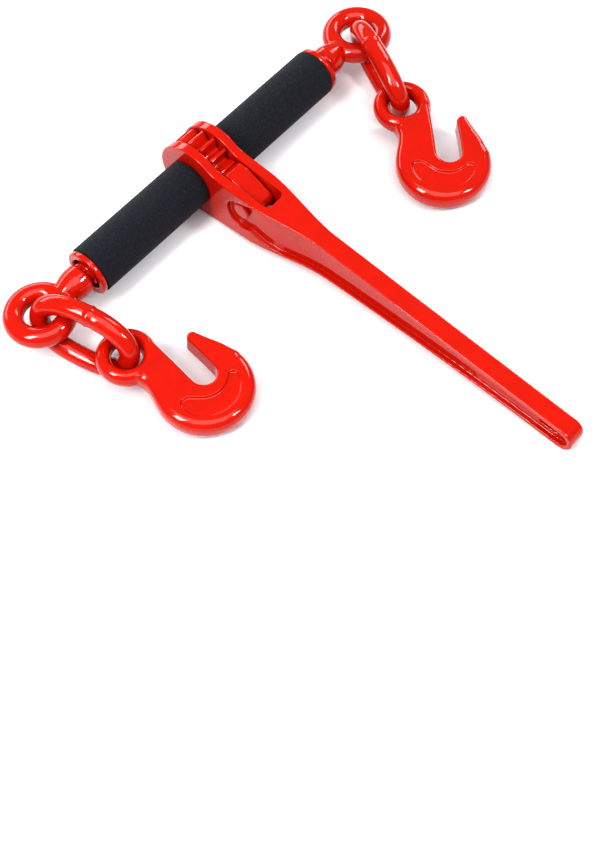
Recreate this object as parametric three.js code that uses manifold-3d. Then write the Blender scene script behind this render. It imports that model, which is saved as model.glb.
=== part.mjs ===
// Ratchet load binder for tie-down chain: a barrel tube with a right and a left threaded end,
// two eye screws, an oval link and a grab hook on each, and a forked lever handle whose
// reversible pawl drives the barrel's ratchet gear.
// Millimetres. Barrel along X, handle towards -Y, +Z up, lying on the plane z = 0.
import * as THREE from 'three';
import { mergeVertices } from 'three/addons/utils/BufferGeometryUtils.js';
import Module from 'manifold-3d';

const wasm = await Module();
wasm.setup();

// ---- driving dimensions ----
const GAP = 0.3;                    // clearance between pieces that touch
const AXIS_Z = 32.6;                // barrel axis above the ground

const BARREL_HALF = 127;            // a 10 inch barrel
const TUBE_R = 16;
const BORE_R = 13.2;                // clear bore in the middle of the barrel
const NUT_R = 11.1;                 // threaded stretch at each end
const NUT_LENGTH = 20;
const GRIP_R = 19.6;
const GRIP_ROUND = 1;
const COLLAR_R = 19.2;
const COLLAR_HOLE_R = 13.2;
const COLLAR_WIDTH = 4.6;

const TEETH = 16;
const GEAR_TIP_R = 31;
const GEAR_ROOT_R = 23.2;
const GEAR_HALF = 7.9;
const TOOTH_TIP_HALF = 1.1;
const GULLET_R = 2.2;
const WASHER_R = 21;
const WASHER_THICKNESS = 0.7;

const HEAD_R = 32.2;                // round fork plates of the handle
const FORK_INNER = 9.2;             // half the gap between the plates
const FORK_OUTER = 16.9;            // half the width over the plates
const SHANK_HALF = 7.7;             // half the width of the lever
const TAPER_START = -52;            // the fork narrows to the lever between these two
const TAPER_END = -128;
const LEVER_END = -347;             // centre of the rounded lever end
const END_R = 10.5;
const END_Z = 11;
const WINDOW_REAR = -74;
const WINDOW_TOP = 50.7;            // height of the top face at the window's rear edge
const WINDOW_CORNER = 5;
const SHOULDER_FILLET = 22;         // between the round head and the top face
const CHANNEL_DEPTH = 4;
const TOP_FLANGE = 1.6;
const END_SLOT = { y0: -347, y1: -327, z: 11.2, half: 2.7 };

const PIN_Y = -51;                  // pawl pin
const PIN_Z = AXIS_Z + 3;
const PIN_R = 4;
const PIN_HEAD_R = 7;
const PIN_RECESS_R = 14;
const PIN_RECESS_DROP = 5;          // the recess is centred this far below the pin
const PAWL_HALF = 8.4;

const PLUNGER_R = 3.7;
const PLUNGER_BORE_R = 4.1;
const PLUNGER_LENGTH = 17;
const PLUNGER_BORE_END = -100;
const PAWL_TAIL_R = 12;
const SPRING_COIL_R = 3.1;
const SPRING_WIRE_R = 0.45;
const SPRING_TURNS = 6;

const EYE_X = 179;                  // barrel centre to eye ring centre
const EYE_RING_R = 20.2;            // centreline radius
const EYE_STOCK_R = 8;
const SCREW_R = 10.5;
const NECK_R = 12.8;
const NECK_LENGTH = 44.1;           // ring centre to the neck's shoulder
const SCREW_TAIL = 3;               // distance of the screw's inner end from the barrel centre
const STOP_PIN_X = 8;
const STOP_PIN_R = 2;
const STOP_PIN_HALF = 12.4;

const LINK_HALF_LENGTH = 37.2;      // centreline
const LINK_HALF_WIDTH = 20.4;
const LINK_SQUARENESS = 2.3;        // 2 is an ellipse; more fills out its corners
const LINK_STOCK_R = 7.8;

const HOOK_HALF = 9;                // half the plate thickness
const HOOK_EDGE = 3.4;              // rounding of the forged edges
const SLOT_HALF = 10.2;
const BEND = { u: -4.9, v: -7.2, r: 37.6 };
const EYE = { u: -31, v: 48.7, r: 23.2, stock: 5.9, flat: 1.25, swell: 0.27 };
const TIP = { u: 14.2, v: 27.6, r: 4.6 };

// How each end lies. The link: how far its crown is from the middle of the eye ring, its heading,
// pitch and roll about its own length in degrees, and its rise on the eye ring.
// The hook: how far along the link its eye is and how far above, the direction it opens, and its
// slope down from its eye to its bend.
const ENDS = [
  {
    name: 'left', side: -1, aside: [-0.6, -0.5], heading: -74.7, pitch: 10.1, roll: -19.7, rise: 2.8,
    reach: 72.5, lift: -0.1, opening: 84.4, droop: 6.8,
  },
  {
    name: 'right', side: 1, aside: [0.2, -2.2], heading: -112.8, pitch: 11, roll: 8, rise: 4.1,
    reach: 76.8, lift: 1.2, opening: 46.5, droop: 7.3,
  },
];

const RED = { color: 0xe0250f, roughness: 0.25, metalness: 0.1 };
const FOAM = { color: 0x23262b, roughness: 0.9, metalness: 0 };
const STEEL = { color: 0x9a9a9a, roughness: 0.35, metalness: 1 };
const BRONZE = { color: 0xa77b3d, roughness: 0.4, metalness: 1 };

const rad = THREE.MathUtils.degToRad;
const binder = new THREE.Group();

// ---- helpers ----
// One closed body with shared vertices and its faces pointing out.
function closed(geometry) {
  const bare = geometry.clone();
  bare.deleteAttribute('normal');
  bare.deleteAttribute('uv');
  const merged = mergeVertices(bare, 1e-4);
  const kept = [];
  let volume = 0;
  const corner = [0, 1, 2].map(() => new THREE.Vector3());
  for (let i = 0; i < merged.index.count; i += 3) {
    const face = [0, 1, 2].map((k) => merged.index.getX(i + k));
    if (new Set(face).size < 3) continue;
    face.forEach((vertex, k) => corner[k].fromBufferAttribute(merged.attributes.position, vertex));
    volume += corner[0].dot(corner[1].clone().cross(corner[2]));
    kept.push(face);
  }
  const faces = volume < 0 ? kept.map(([a, b, c]) => [a, c, b]) : kept;
  merged.setIndex(faces.flat());
  return merged;
}

function solid(geometry) {
  const body = closed(geometry);
  const vertProperties = new Float32Array(body.attributes.position.array);
  const triVerts = new Uint32Array(body.index.array);
  return new wasm.Manifold(new wasm.Mesh({ numProp: 3, vertProperties, triVerts }));
}

function geometryOf(manifold) {
  const mesh = manifold.getMesh();
  const geometry = new THREE.BufferGeometry();
  geometry.setAttribute('position', new THREE.BufferAttribute(new Float32Array(mesh.vertProperties), 3));
  geometry.setIndex(new THREE.BufferAttribute(new Uint32Array(mesh.triVerts), 1));
  return geometry;
}

function addPiece(name, geometry, look, parent = binder) {
  const mesh = new THREE.Mesh(closed(geometry), new THREE.MeshStandardMaterial(look));
  mesh.name = name;
  parent.add(mesh);
  return mesh;
}

// A body turned about X from a list of [x, radius] pairs.
function turned(profile, segments = 28) {
  const points = profile.map(([x, r]) => new THREE.Vector2(r, x));
  return new THREE.LatheGeometry(points, segments).rotateZ(-Math.PI / 2);
}

function bar(radius, x0, x1, segments = 20) {
  return turned([[x0, 0], [x0, radius], [x1, radius], [x1, 0]], segments);
}

function pipe(outer, inner, x0, x1) {
  return turned([[x0, inner], [x0, outer], [x1, outer], [x1, inner], [x0, inner]]);
}

// Points of an arc from angle a0 to a1 in degrees.
function arc(cx, cy, r, a0, a1, steps) {
  return Array.from({ length: steps + 1 }, (_, i) => {
    const a = rad(a0 + ((a1 - a0) * i) / steps);
    return new THREE.Vector2(cx + r * Math.cos(a), cy + r * Math.sin(a));
  });
}

function curveThrough(pairs, steps) {
  return new THREE.SplineCurve(pairs.map(([a, b]) => new THREE.Vector2(a, b))).getPoints(steps);
}

// A side outline drawn in (y, z), extruded across X from -half to half.
function sideSlab(points, half, hole) {
  const shape = new THREE.Shape(points);
  if (hole) shape.holes.push(new THREE.Path(hole));
  const slab = new THREE.ExtrudeGeometry(shape, { depth: 2 * half, bevelEnabled: false });
  return slab.rotateX(Math.PI / 2).rotateZ(Math.PI / 2).translate(-half, 0, 0);
}

// A plan outline drawn in (x, y), extruded upwards through the whole handle.
function planSlab(points) {
  const shape = new THREE.Shape(points);
  return new THREE.ExtrudeGeometry(shape, { depth: 90, bevelEnabled: false }).translate(0, 0, -10);
}

// ---- barrel ----
function addBarrel() {
  const nut = BARREL_HALF - NUT_LENGTH;
  const wall = turned([
    [-BARREL_HALF, NUT_R], [-BARREL_HALF, TUBE_R], [BARREL_HALF, TUBE_R], [BARREL_HALF, NUT_R],
    [nut, NUT_R], [nut, BORE_R], [-nut, BORE_R], [-nut, NUT_R], [-BARREL_HALF, NUT_R],
  ]);
  addPiece('barrel_tube', wall.translate(0, 0, AXIS_Z), RED);
  addPiece('ratchet_gear', gearGeometry(), RED);
  for (const { name, side } of ENDS) {
    const turn = side < 0 ? Math.PI : 0;
    addPiece(`grip_${name}`, gripGeometry().rotateZ(turn).translate(0, 0, AXIS_Z), FOAM);
    addPiece(`end_collar_${name}`, collarGeometry().rotateZ(turn).translate(0, 0, AXIS_Z), RED);
    const inner = GEAR_HALF + GAP;
    const washer = pipe(WASHER_R, TUBE_R + GAP, inner, inner + WASHER_THICKNESS);
    addPiece(`thrust_washer_${name}`, washer.rotateZ(turn).translate(0, 0, AXIS_Z), BRONZE);
  }
}

function gripGeometry() {
  const x0 = FORK_OUTER + GAP;
  const x1 = BARREL_HALF;
  return turned([
    [x0, TUBE_R + GAP], [x0, GRIP_R - GRIP_ROUND], [x0 + GRIP_ROUND, GRIP_R],
    [x1 - GRIP_ROUND, GRIP_R], [x1, GRIP_R - GRIP_ROUND], [x1, TUBE_R + GAP], [x0, TUBE_R + GAP],
  ]);
}

function collarGeometry() {
  const x0 = BARREL_HALF + GAP;
  const x1 = x0 + COLLAR_WIDTH;
  return turned([
    [x0, COLLAR_HOLE_R], [x0, COLLAR_R], [x1 - 1, COLLAR_R], [x1, COLLAR_R - 1],
    [x1, COLLAR_HOLE_R], [x0, COLLAR_HOLE_R],
  ]);
}

// Narrow teeth with slanting flanks and round-bottomed gullets. A flank is tangent to its gullet.
function gearGeometry() {
  const pitch = 360 / TEETH;
  const crest = rad(pitch / 2) - TOOTH_TIP_HALF / GEAR_TIP_R;
  const crestX = GEAR_TIP_R * Math.cos(crest);
  const crestY = GEAR_TIP_R * Math.sin(crest);
  const centre = GEAR_ROOT_R + GULLET_R;
  const lean = Math.acos(GULLET_R / Math.hypot(crestX - centre, crestY));
  const touch = THREE.MathUtils.radToDeg(Math.atan2(crestY, crestX - centre) + lean);
  const gullet = [
    new THREE.Vector2(crestX, -crestY),
    ...arc(centre, 0, GULLET_R, -touch, touch - 360, 4),
    new THREE.Vector2(crestX, crestY),
  ];
  const aim = Math.atan2(PIN_Z - AXIS_Z, PIN_Y);
  const outline = [];
  for (let tooth = 0; tooth < TEETH; tooth += 1) {
    const turn = aim + rad(tooth * pitch);
    outline.push(...gullet.map((p) => p.clone().rotateAround(new THREE.Vector2(), turn)));
  }
  const bore = arc(0, 0, TUBE_R + GAP, 0, 360 - 360 / 28, 27);
  return sideSlab(outline, GEAR_HALF, bore).translate(0, 0, AXIS_Z);
}

// ---- handle ----
const slope = (WINDOW_TOP - END_Z - END_R) / (WINDOW_REAR - LEVER_END);
const topAt = (y) => WINDOW_TOP + slope * (y - WINDOW_REAR);

// Half width of the handle in plan.
function halfWidth(y) {
  const t = THREE.MathUtils.smoothstep(-y, -TAPER_START, -TAPER_END);
  return FORK_OUTER + (SHANK_HALF - FORK_OUTER) * t;
}

function planOutline(inset, frontY, endY, corner) {
  const right = [];
  for (let i = 0; i <= 8; i += 1) {
    const y = TAPER_START + ((TAPER_END - TAPER_START) * i) / 8;
    right.push([halfWidth(y) - inset, y]);
  }
  right.unshift([FORK_OUTER - inset, frontY]);
  right.push([SHANK_HALF - inset, endY + corner], [SHANK_HALF - inset - corner * 0.3, endY + corner * 0.3]);
  right.push([SHANK_HALF - inset - corner, endY]);
  const left = right.map(([x, y]) => [-x, y]).reverse();
  return [...right, ...left].map(([x, y]) => new THREE.Vector2(x, y));
}

// The side view: round head, concave shoulder, straight top face, rounded end, arched underside.
function sideOutline() {
  const tilt = Math.atan(slope);
  const along = new THREE.Vector2(Math.cos(tilt), Math.sin(tilt));
  const up = new THREE.Vector2(-along.y, along.x);
  const head = new THREE.Vector2(0, AXIS_Z);
  const drop = (topAt(0) - AXIS_Z) * Math.cos(tilt);
  const reach = Math.sqrt((HEAD_R + SHOULDER_FILLET) ** 2 - (drop + SHOULDER_FILLET) ** 2);
  const fillet = head.clone().addScaledVector(along, -reach).addScaledVector(up, drop + SHOULDER_FILLET);
  const toFillet = THREE.MathUtils.radToDeg(fillet.clone().sub(head).angle());
  const down = THREE.MathUtils.radToDeg(tilt) - 90;
  const underside = curveThrough([
    [-6, 1.1], [-45, 3.6], [-90, 6.4], [-150, 8.2], [-230, 7.6], [-300, 4.4],
    [LEVER_END + 2, END_Z - END_R],
  ], 14);
  return [
    ...arc(0, AXIS_Z, HEAD_R, toFillet, -98, 22),
    ...underside.slice(1),
    ...arc(LEVER_END, END_Z, END_R, -98, -264, 8),
    ...arc(fillet.x, fillet.y, SHOULDER_FILLET, down, toFillet - 180, 5),
  ];
}

// The channel pressed into each side, round at the pawl pin and at the lever's end.
function channelOutline() {
  const lower = curveThrough([
    [-60, 17.6], [-72, 12.2], [-86, 9.4], [-105, 9.9], [-150, 11], [-230, 10.4], [-300, 7.3],
    [-340, 4.4],
  ], 14);
  return [
    ...arc(PIN_Y, PIN_Z - PIN_RECESS_DROP, PIN_RECESS_R, 80, -115, 10),
    ...lower,
    ...arc(LEVER_END, END_Z + 0.2, 6.4, -100, -262, 6),
    new THREE.Vector2(-90, topAt(-90) - TOP_FLANGE),
    new THREE.Vector2(-66, topAt(-66) - TOP_FLANGE),
  ];
}

function windowOutline() {
  const r = WINDOW_CORNER;
  return [
    new THREE.Vector2(FORK_INNER, 45), new THREE.Vector2(-FORK_INNER, 45),
    ...arc(-FORK_INNER + r, WINDOW_REAR + r, r, 180, 270, 3),
    ...arc(FORK_INNER - r, WINDOW_REAR + r, r, 270, 360, 3),
  ];
}

function endSlotOutline() {
  const { y0, y1, z, half } = END_SLOT;
  return [...arc(y1 - half, z, half, -90, 90, 4), ...arc(y0 + half, z, half, 90, 270, 4)];
}

function addHandle() {
  const wide = FORK_OUTER + 5;
  const plan = solid(planSlab(planOutline(0, 40, LEVER_END - END_R - 0.2, 4)));
  const web = solid(planSlab(planOutline(CHANNEL_DEPTH, 40, LEVER_END - 20, 0.5)));
  const channels = solid(sideSlab(channelOutline(), wide)).subtract(web);
  const tubeHole = solid(bar(TUBE_R + 0.5, -wide, wide, 28).translate(0, 0, AXIS_Z));
  const pinHole = solid(bar(PIN_R + GAP, -wide, wide, 16).translate(0, PIN_Y, PIN_Z));
  const bore = solid(bar(PLUNGER_BORE_R, WINDOW_REAR + 8, PLUNGER_BORE_END, 16).rotateZ(Math.PI / 2))
    .translate([0, 0, PIN_Z]);
  const body = solid(sideSlab(sideOutline(), wide)).intersect(plan)
    .subtract(channels)
    .subtract(solid(planSlab(windowOutline())))
    .subtract(tubeHole)
    .subtract(pinHole)
    .subtract(bore)
    .subtract(solid(sideSlab(endSlotOutline(), wide)));
  addPiece('handle', geometryOf(body), RED);
}

// ---- pawl and its detent ----
// Radius and angle about the pin, the angle counted from the line to the barrel axis.
// Each tooth fits a gullet once the pawl has tilted, and both clear the tips at rest.
const PAWL_HALF_OUTLINE = [
  [19.3, 0], [19.3, 13], [19.3, 26], [19.3, 38], [22.5, 38.6], [29.4, 33.8], [29.5, 35.8],
  [27.6, 46], [23, 55], [18, 66], [13.8, 80], [11.4, 98], [10.6, 118], [11.2, 138],
  [PAWL_TAIL_R, 152], [PAWL_TAIL_R, 165],
];

function addPawl() {
  const aim = THREE.MathUtils.radToDeg(Math.atan2(AXIS_Z - PIN_Z, -PIN_Y));
  const lower = PAWL_HALF_OUTLINE.slice(1).reverse().map(([r, a]) => [r, -a]);
  const outline = [...PAWL_HALF_OUTLINE, [PAWL_TAIL_R, 180], ...lower].map(([r, a]) => {
    const turn = rad(aim + a);
    return new THREE.Vector2(r * Math.cos(turn), r * Math.sin(turn));
  });
  const hole = arc(0, 0, PIN_R + GAP, 0, 337.5, 15);
  addPiece('pawl', sideSlab(outline, PAWL_HALF, hole).translate(0, PIN_Y, PIN_Z), RED);

  const floor = FORK_OUTER - CHANNEL_DEPTH + GAP;
  const pin = turned([
    [-floor - 3, 0], [-floor - 3, PIN_HEAD_R - 0.8], [-floor - 2.2, PIN_HEAD_R], [-floor, PIN_HEAD_R],
    [-floor, PIN_R], [floor + 2.2, PIN_R], [floor + 2.2, 0],
  ], 20);
  addPiece('pawl_pin', pin.translate(0, PIN_Y, PIN_Z), RED);
  const clip = turned([
    [floor, PIN_R + GAP], [floor, 7], [floor + 1.2, 7], [floor + 1.2, PIN_R + GAP], [floor, PIN_R + GAP],
  ], 20);
  addPiece('pawl_pin_clip', clip.translate(0, PIN_Y, PIN_Z), STEEL);

  const tipY = PIN_Y - PAWL_TAIL_R - GAP;
  const tailY = tipY - PLUNGER_LENGTH;
  const plunger = new THREE.LatheGeometry([
    [0, tipY], [2, tipY - 0.4], [3.3, tipY - 1.6], [PLUNGER_R, tipY - 3.4], [PLUNGER_R, tailY], [0, tailY],
  ].map(([r, y]) => new THREE.Vector2(r, y)), 16);
  addPiece('detent_plunger', plunger.translate(0, 0, PIN_Z), STEEL);
  addPiece('detent_spring', springGeometry(tailY - GAP, PLUNGER_BORE_END + GAP), STEEL);
}

class Coil extends THREE.Curve {
  constructor(y0, y1) {
    super();
    this.y0 = y0;
    this.y1 = y1;
  }

  getPoint(t, target = new THREE.Vector3()) {
    const a = 2 * Math.PI * SPRING_TURNS * t;
    const y = this.y0 + (this.y1 - this.y0) * t;
    return target.set(SPRING_COIL_R * Math.cos(a), y, SPRING_COIL_R * Math.sin(a));
  }
}

function springGeometry(y0, y1) {
  const wire = new THREE.Shape(arc(0, 0, SPRING_WIRE_R, 0, 288, 4));
  const path = new Coil(y0 - SPRING_WIRE_R, y1 + SPRING_WIRE_R);
  const coil = new THREE.ExtrudeGeometry(wire, { steps: SPRING_TURNS * 9, extrudePath: path });
  return coil.translate(0, 0, PIN_Z);
}

// ---- eye screws ----
function addEyeScrew({ name, side }) {
  const turn = side < 0 ? 0 : Math.PI;
  const tail = EYE_X - SCREW_TAIL;
  const ring = solid(new THREE.TorusGeometry(EYE_RING_R, EYE_STOCK_R, 10, 32));
  const stem = solid(turned([
    [18, 0], [18, 6], [22, 9], [26, 10.6], [31, 12.2], [36, NECK_R], [NECK_LENGTH, NECK_R],
    [NECK_LENGTH + 0.5, SCREW_R], [tail - 1.5, SCREW_R], [tail, SCREW_R - 1.5], [tail, 0],
  ], 24));
  const crossBar = bar(STOP_PIN_R + GAP, -20, 20, 12).rotateY(Math.PI / 2);
  const hole = solid(crossBar.translate(EYE_X - STOP_PIN_X, 0, 0));
  const screw = geometryOf(ring.add(stem).subtract(hole));
  addPiece(`eye_screw_${name}`, screw.rotateZ(turn).translate(side * EYE_X, 0, AXIS_Z), RED);
  const pin = bar(STOP_PIN_R, -STOP_PIN_HALF, STOP_PIN_HALF, 12).rotateY(Math.PI / 2);
  addPiece(`stop_pin_${name}`, pin.translate(side * STOP_PIN_X, 0, AXIS_Z), STEEL);
}

// ---- chain links ----
// The middle line of a link, drawn out along X. The crown in the eye is at x = 0.
class LinkLine extends THREE.Curve {
  getPoint(t, target = new THREE.Vector3()) {
    const shaped = (value) => Math.sign(value) * Math.abs(value) ** (2 / LINK_SQUARENESS);
    const along = LINK_HALF_LENGTH * shaped(Math.cos(2 * Math.PI * t));
    const across = LINK_HALF_WIDTH * shaped(Math.sin(2 * Math.PI * t));
    return target.set(LINK_HALF_LENGTH + along, across, 0);
  }
}

function linkGeometry() {
  return new THREE.TubeGeometry(new LinkLine(), 40, LINK_STOCK_R, 10, true);
}

// ---- grab hooks ----
// The hook's plane is (u, v): u across the slot, v along it towards the opening.
function hookOutline() {
  return [
    ...arc(TIP.u, TIP.v, TIP.r, 180, 15, 5),
    ...curveThrough([[21.8, 21.8], [25.8, 14], [29.4, 5.5]], 3),
    ...arc(BEND.u, BEND.v, BEND.r, 8, -192, 16),
    ...curveThrough([[-40.5, 6], [-38.3, 14], [-37.6, 21], [-39.6, 29]], 3),
    new THREE.Vector2(-SLOT_HALF - 3, 50),
    new THREE.Vector2(-SLOT_HALF, 44),
    ...arc(0, 0, SLOT_HALF, -180, 0, 8),
  ];
}

// The hook's round eye, fullest towards the bend.
function hookEyeGeometry() {
  const eye = new THREE.TorusGeometry(EYE.r - EYE.stock, EYE.stock, 10, 28);
  const bendward = new THREE.Vector2(BEND.u - EYE.u, BEND.v - EYE.v).normalize();
  const position = eye.attributes.position;
  for (let i = 0; i < position.count; i += 1) {
    const spoke = new THREE.Vector2(position.getX(i), position.getY(i)).normalize();
    const fullness = EYE.flat + EYE.swell * Math.max(0, spoke.dot(bendward)) ** 2;
    position.setZ(i, position.getZ(i) * fullness);
  }
  return eye.translate(EYE.u, EYE.v, 0);
}

function hookGeometry() {
  const plate = new THREE.ExtrudeGeometry(new THREE.Shape(hookOutline()), {
    depth: 2 * (HOOK_HALF - HOOK_EDGE),
    bevelThickness: HOOK_EDGE,
    bevelSize: HOOK_EDGE,
    bevelOffset: -HOOK_EDGE,
    bevelSegments: 2,
  });
  const body = solid(plate.translate(0, 0, HOOK_EDGE - HOOK_HALF));
  const ring = EYE.r - EYE.stock;
  const hole = solid(bar(ring, -20, 20, 28).rotateY(Math.PI / 2).translate(EYE.u, EYE.v, 0));
  return geometryOf(body.subtract(hole).add(solid(hookEyeGeometry()))).translate(-EYE.u, -EYE.v, 0);
}

// ---- the chain at each end ----
function addChainEnd(end) {
  const { name, side, aside, heading, pitch, roll, rise, reach, lift, opening } = end;
  const crown = new THREE.Group();
  crown.position.set(side * EYE_X + aside[0], aside[1], AXIS_Z);
  crown.rotation.set(0, rad(pitch), rad(heading), 'ZYX');
  binder.add(crown);
  const link = addPiece(`link_${name}`, linkGeometry(), RED, crown);
  link.rotation.x = rad(90 + roll);
  link.position.z = rise;

  const hook = addPiece(`hook_${name}`, hookGeometry(), RED);
  const far = new THREE.Vector3(reach, 0, rise + lift);
  crown.updateMatrixWorld(true);
  hook.position.copy(crown.localToWorld(far));
  const bendward = new THREE.Vector3(BEND.u - EYE.u, BEND.v - EYE.v, 0).normalize();
  const across = new THREE.Vector3(-bendward.y, bendward.x, 0);
  const droop = new THREE.Quaternion().setFromAxisAngle(across, rad(end.droop));
  const yaw = new THREE.Quaternion().setFromAxisAngle(new THREE.Vector3(0, 0, 1), rad(opening - 90));
  hook.quaternion.copy(yaw.multiply(droop));
}

addBarrel();
addHandle();
addPawl();
ENDS.forEach(addEyeScrew);
ENDS.forEach(addChainEnd);

// The origin is the middle of the bounding box, on the ground.
const box = new THREE.Box3().setFromObject(binder, true);
const middle = box.getCenter(new THREE.Vector3());
binder.position.set(-middle.x, -middle.y, -box.min.z);

export default binder;
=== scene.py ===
# The looks of the ratchet load binder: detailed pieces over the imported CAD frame,
# their painted, foam and metal materials, the studio and the camera.
import math

import bmesh
import bpy
from mathutils import Matrix, Vector


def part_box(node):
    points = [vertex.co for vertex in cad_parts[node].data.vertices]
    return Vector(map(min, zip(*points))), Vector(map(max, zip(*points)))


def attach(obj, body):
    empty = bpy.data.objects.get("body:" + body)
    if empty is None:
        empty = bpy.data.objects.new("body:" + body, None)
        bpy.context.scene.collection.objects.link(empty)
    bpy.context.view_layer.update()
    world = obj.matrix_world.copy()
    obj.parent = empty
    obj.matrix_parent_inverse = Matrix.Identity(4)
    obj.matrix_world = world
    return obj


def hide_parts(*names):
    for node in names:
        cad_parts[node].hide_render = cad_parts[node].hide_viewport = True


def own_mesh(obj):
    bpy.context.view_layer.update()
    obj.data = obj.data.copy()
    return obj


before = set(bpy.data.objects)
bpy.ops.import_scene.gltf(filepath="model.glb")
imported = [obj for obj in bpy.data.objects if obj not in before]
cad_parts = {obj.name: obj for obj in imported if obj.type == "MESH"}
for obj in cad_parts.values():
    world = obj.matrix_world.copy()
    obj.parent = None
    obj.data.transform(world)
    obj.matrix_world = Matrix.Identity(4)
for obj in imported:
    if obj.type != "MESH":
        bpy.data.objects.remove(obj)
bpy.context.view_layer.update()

MM = 0.001

# ---- dimensions in millimetres; the main ones are the same as the CAD's ----
# X runs along the barrel and the lever points to -Y. The barrel's axis is y = 0, z = AXIS_Z.
GAP = 0.3
AXIS_Z = 32.6
BARREL_HALF = 127
TUBE_R = 16
TUBE_CLEARANCE = 0.5
BORE_R = 13.2
NUT_R = 11.1
NUT_LENGTH = 20
TUBE_EDGE = 0.5
GRIP_R = 19.6
GRIP_EDGE = 1.6
COLLAR_R = 19.2
COLLAR_HOLE_R = 13.2
COLLAR_WIDTH = 4.6
COLLAR_EDGE = 1.9
TEETH = 16
GEAR_TIP_R = 31
GEAR_ROOT_R = 23.2
GEAR_HALF = 7.9
TOOTH_TIP_HALF = 1.1
GULLET_R = 2.2
GEAR_EDGE = 0.45
WASHER_R = 21
WASHER_THICKNESS = 0.7
WASHER_EDGE = 0.15
HEAD_R = 32.2
FORK_INNER = 9.2
FORK_OUTER = 16.9
SHANK_HALF = 7.7
TAPER_START = -52
TAPER_END = -128
LEVER_END = -347
LEVER_CORNER = 2.5
END_R = 10.5
END_Z = 11
WINDOW_FRONT = 45
WINDOW_REAR = -74
WINDOW_TOP = 50.7
WINDOW_CORNER = 5
SHOULDER_FILLET = 22
CHANNEL_DEPTH = 4
CHANNEL_END_R = 6.4
CHANNEL_END_RISE = 0.2
CHANNEL_TOP_YS = (-90, -66)
WEB_CORNER = 0.5
TOP_FLANGE = 1.6
SLOT_FRONT = -327
SLOT_REAR = -347
SLOT_Z = 11.2
SLOT_HALF_HEIGHT = 2.7
PIN_Y = -51
PIN_Z = AXIS_Z + 3
PIN_R = 4
PIN_HEAD_R = 7
PIN_HEAD_HEIGHT = 3
PIN_END = 2.2
PIN_EDGE = 0.7
CLIP_R = 7
CLIP_THICKNESS = 1.2
CLIP_EDGE = 0.3
PIN_RECESS_R = 14
PIN_RECESS_DROP = 5
PAWL_HALF = 8.4
PAWL_TAIL_R = 12
PAWL_EDGE = 3
PLUNGER_R = 3.7
PLUNGER_BORE_R = 4.1
PLUNGER_LENGTH = 17
PLUNGER_TIP_R = 2
PLUNGER_TIP_LENGTH = 3.4
PLUNGER_EDGE = 1
PLUNGER_BORE_END = -100
SPRING_COIL_R = 3.1
SPRING_WIRE_R = 0.45
SPRING_TURNS = 6
EYE_X = 179
EYE_RING_R = 20.2
EYE_STOCK_R = 8
SCREW_R = 10.5
THREAD_DEPTH = 1.5
THREAD_PITCH = 5
THREAD_FADE = 2
THREAD_OVERLAP = 0.4
NECK_R = 12.8
NECK_LENGTH = 44.1
SCREW_TAIL = 3
STOP_PIN_X = 8
STOP_PIN_R = 2
STOP_PIN_HALF = 12.4
STOP_PIN_EDGE = 0.5
LINK_HALF_LENGTH = 37.2
LINK_HALF_WIDTH = 20.4
LINK_STOCK_R = 7.8
WELD_SWELL = 0.5
WELD_NECK = 0.12
HOOK_HALF = 9
SLOT_HALF = 10.2
BEND_CENTRE = (-4.9, -7.2)
BEND_R = 37.6
HOOK_EYE = (-31, 48.7)
HOOK_EYE_R = 23.2
HOOK_EYE_STOCK = 5.9
PANEL_DEPTH = 1.6
TIP_CENTRE = (14.2, 27.6)
TIP_R = 4.6

# ---- angles in degrees ----
HEAD_LOW_ANGLE = -98
END_HIGH_ANGLE = -264
RECESS_HIGH_ANGLE = 80
RECESS_LOW_ANGLE = -115
CHANNEL_LOW_ANGLE = -100
CHANNEL_HIGH_ANGLE = -262
HOOK_EYE_SLOT_AIM = -12
SMOOTH_ANGLE = 40
CAST_SMOOTH_ANGLE = 80
BEVEL_ANGLE = 30

# ---- factors ----
# The cut of a rounded corner takes at most this share of each side.
CORNER_SHARE = 0.45
# How steep the flanks of the thread are, and how wide its crests.
THREAD_STEEPNESS = 5.2
THREAD_FLAT = 0.8
THREAD_ROWS_PER_TURN = 12
SPRING_STEPS_PER_TURN = 24
# 2 is an oval; more is squarer.
LINK_SQUARENESS = 2.3
# A weld's half width, as a share of the way round its link.
WELD_HALF_WIDTH = 0.007
# The hook's ring is this much thicker than round, and thicker still where it meets the plate.
HOOK_EYE_FLAT = 1.25
HOOK_EYE_SWELL = 0.27

# ---- reach of the shapes that cut others, in millimetres ----
PLAN_LOW = -20
PLAN_HIGH = 90
PLAN_FRONT = 40
PLAN_REAR = LEVER_END - END_R - 0.2
WEB_REAR = LEVER_END - 20
LEVER_SIDE_REACH = FORK_OUTER + 5
GEAR_BORE_REACH = 20
CROSS_BAR_REACH = 30
HOOK_CUT_REACH = 20

SKINS = {
    "lever": dict(voxel=0.45, quick=0.9, rounds=9),
    "pawl": dict(voxel=0.4, quick=0.6, rounds=4),
    "eye": dict(voxel=0.45, quick=0.7, rounds=9),
    "hook": dict(voxel=0.45, quick=0.7, rounds=13),
}

# How each chain end lies, in millimetres and degrees. The weld is at a share of the way round.
ENDS = [
    dict(
        name="left", side=-1, aside=(-0.6, -0.5), heading=-74.7, pitch=10.1, roll=-19.7, rise=2.8,
        reach=72.5, lift=-0.1, opening=84.4, droop=6.8, weld=0.25,
    ),
    dict(
        name="right", side=1, aside=(0.2, -2.2), heading=-112.8, pitch=11, roll=8, rise=4.1,
        reach=76.8, lift=1.2, opening=46.5, droop=7.3, weld=0.3,
    ),
]

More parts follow.
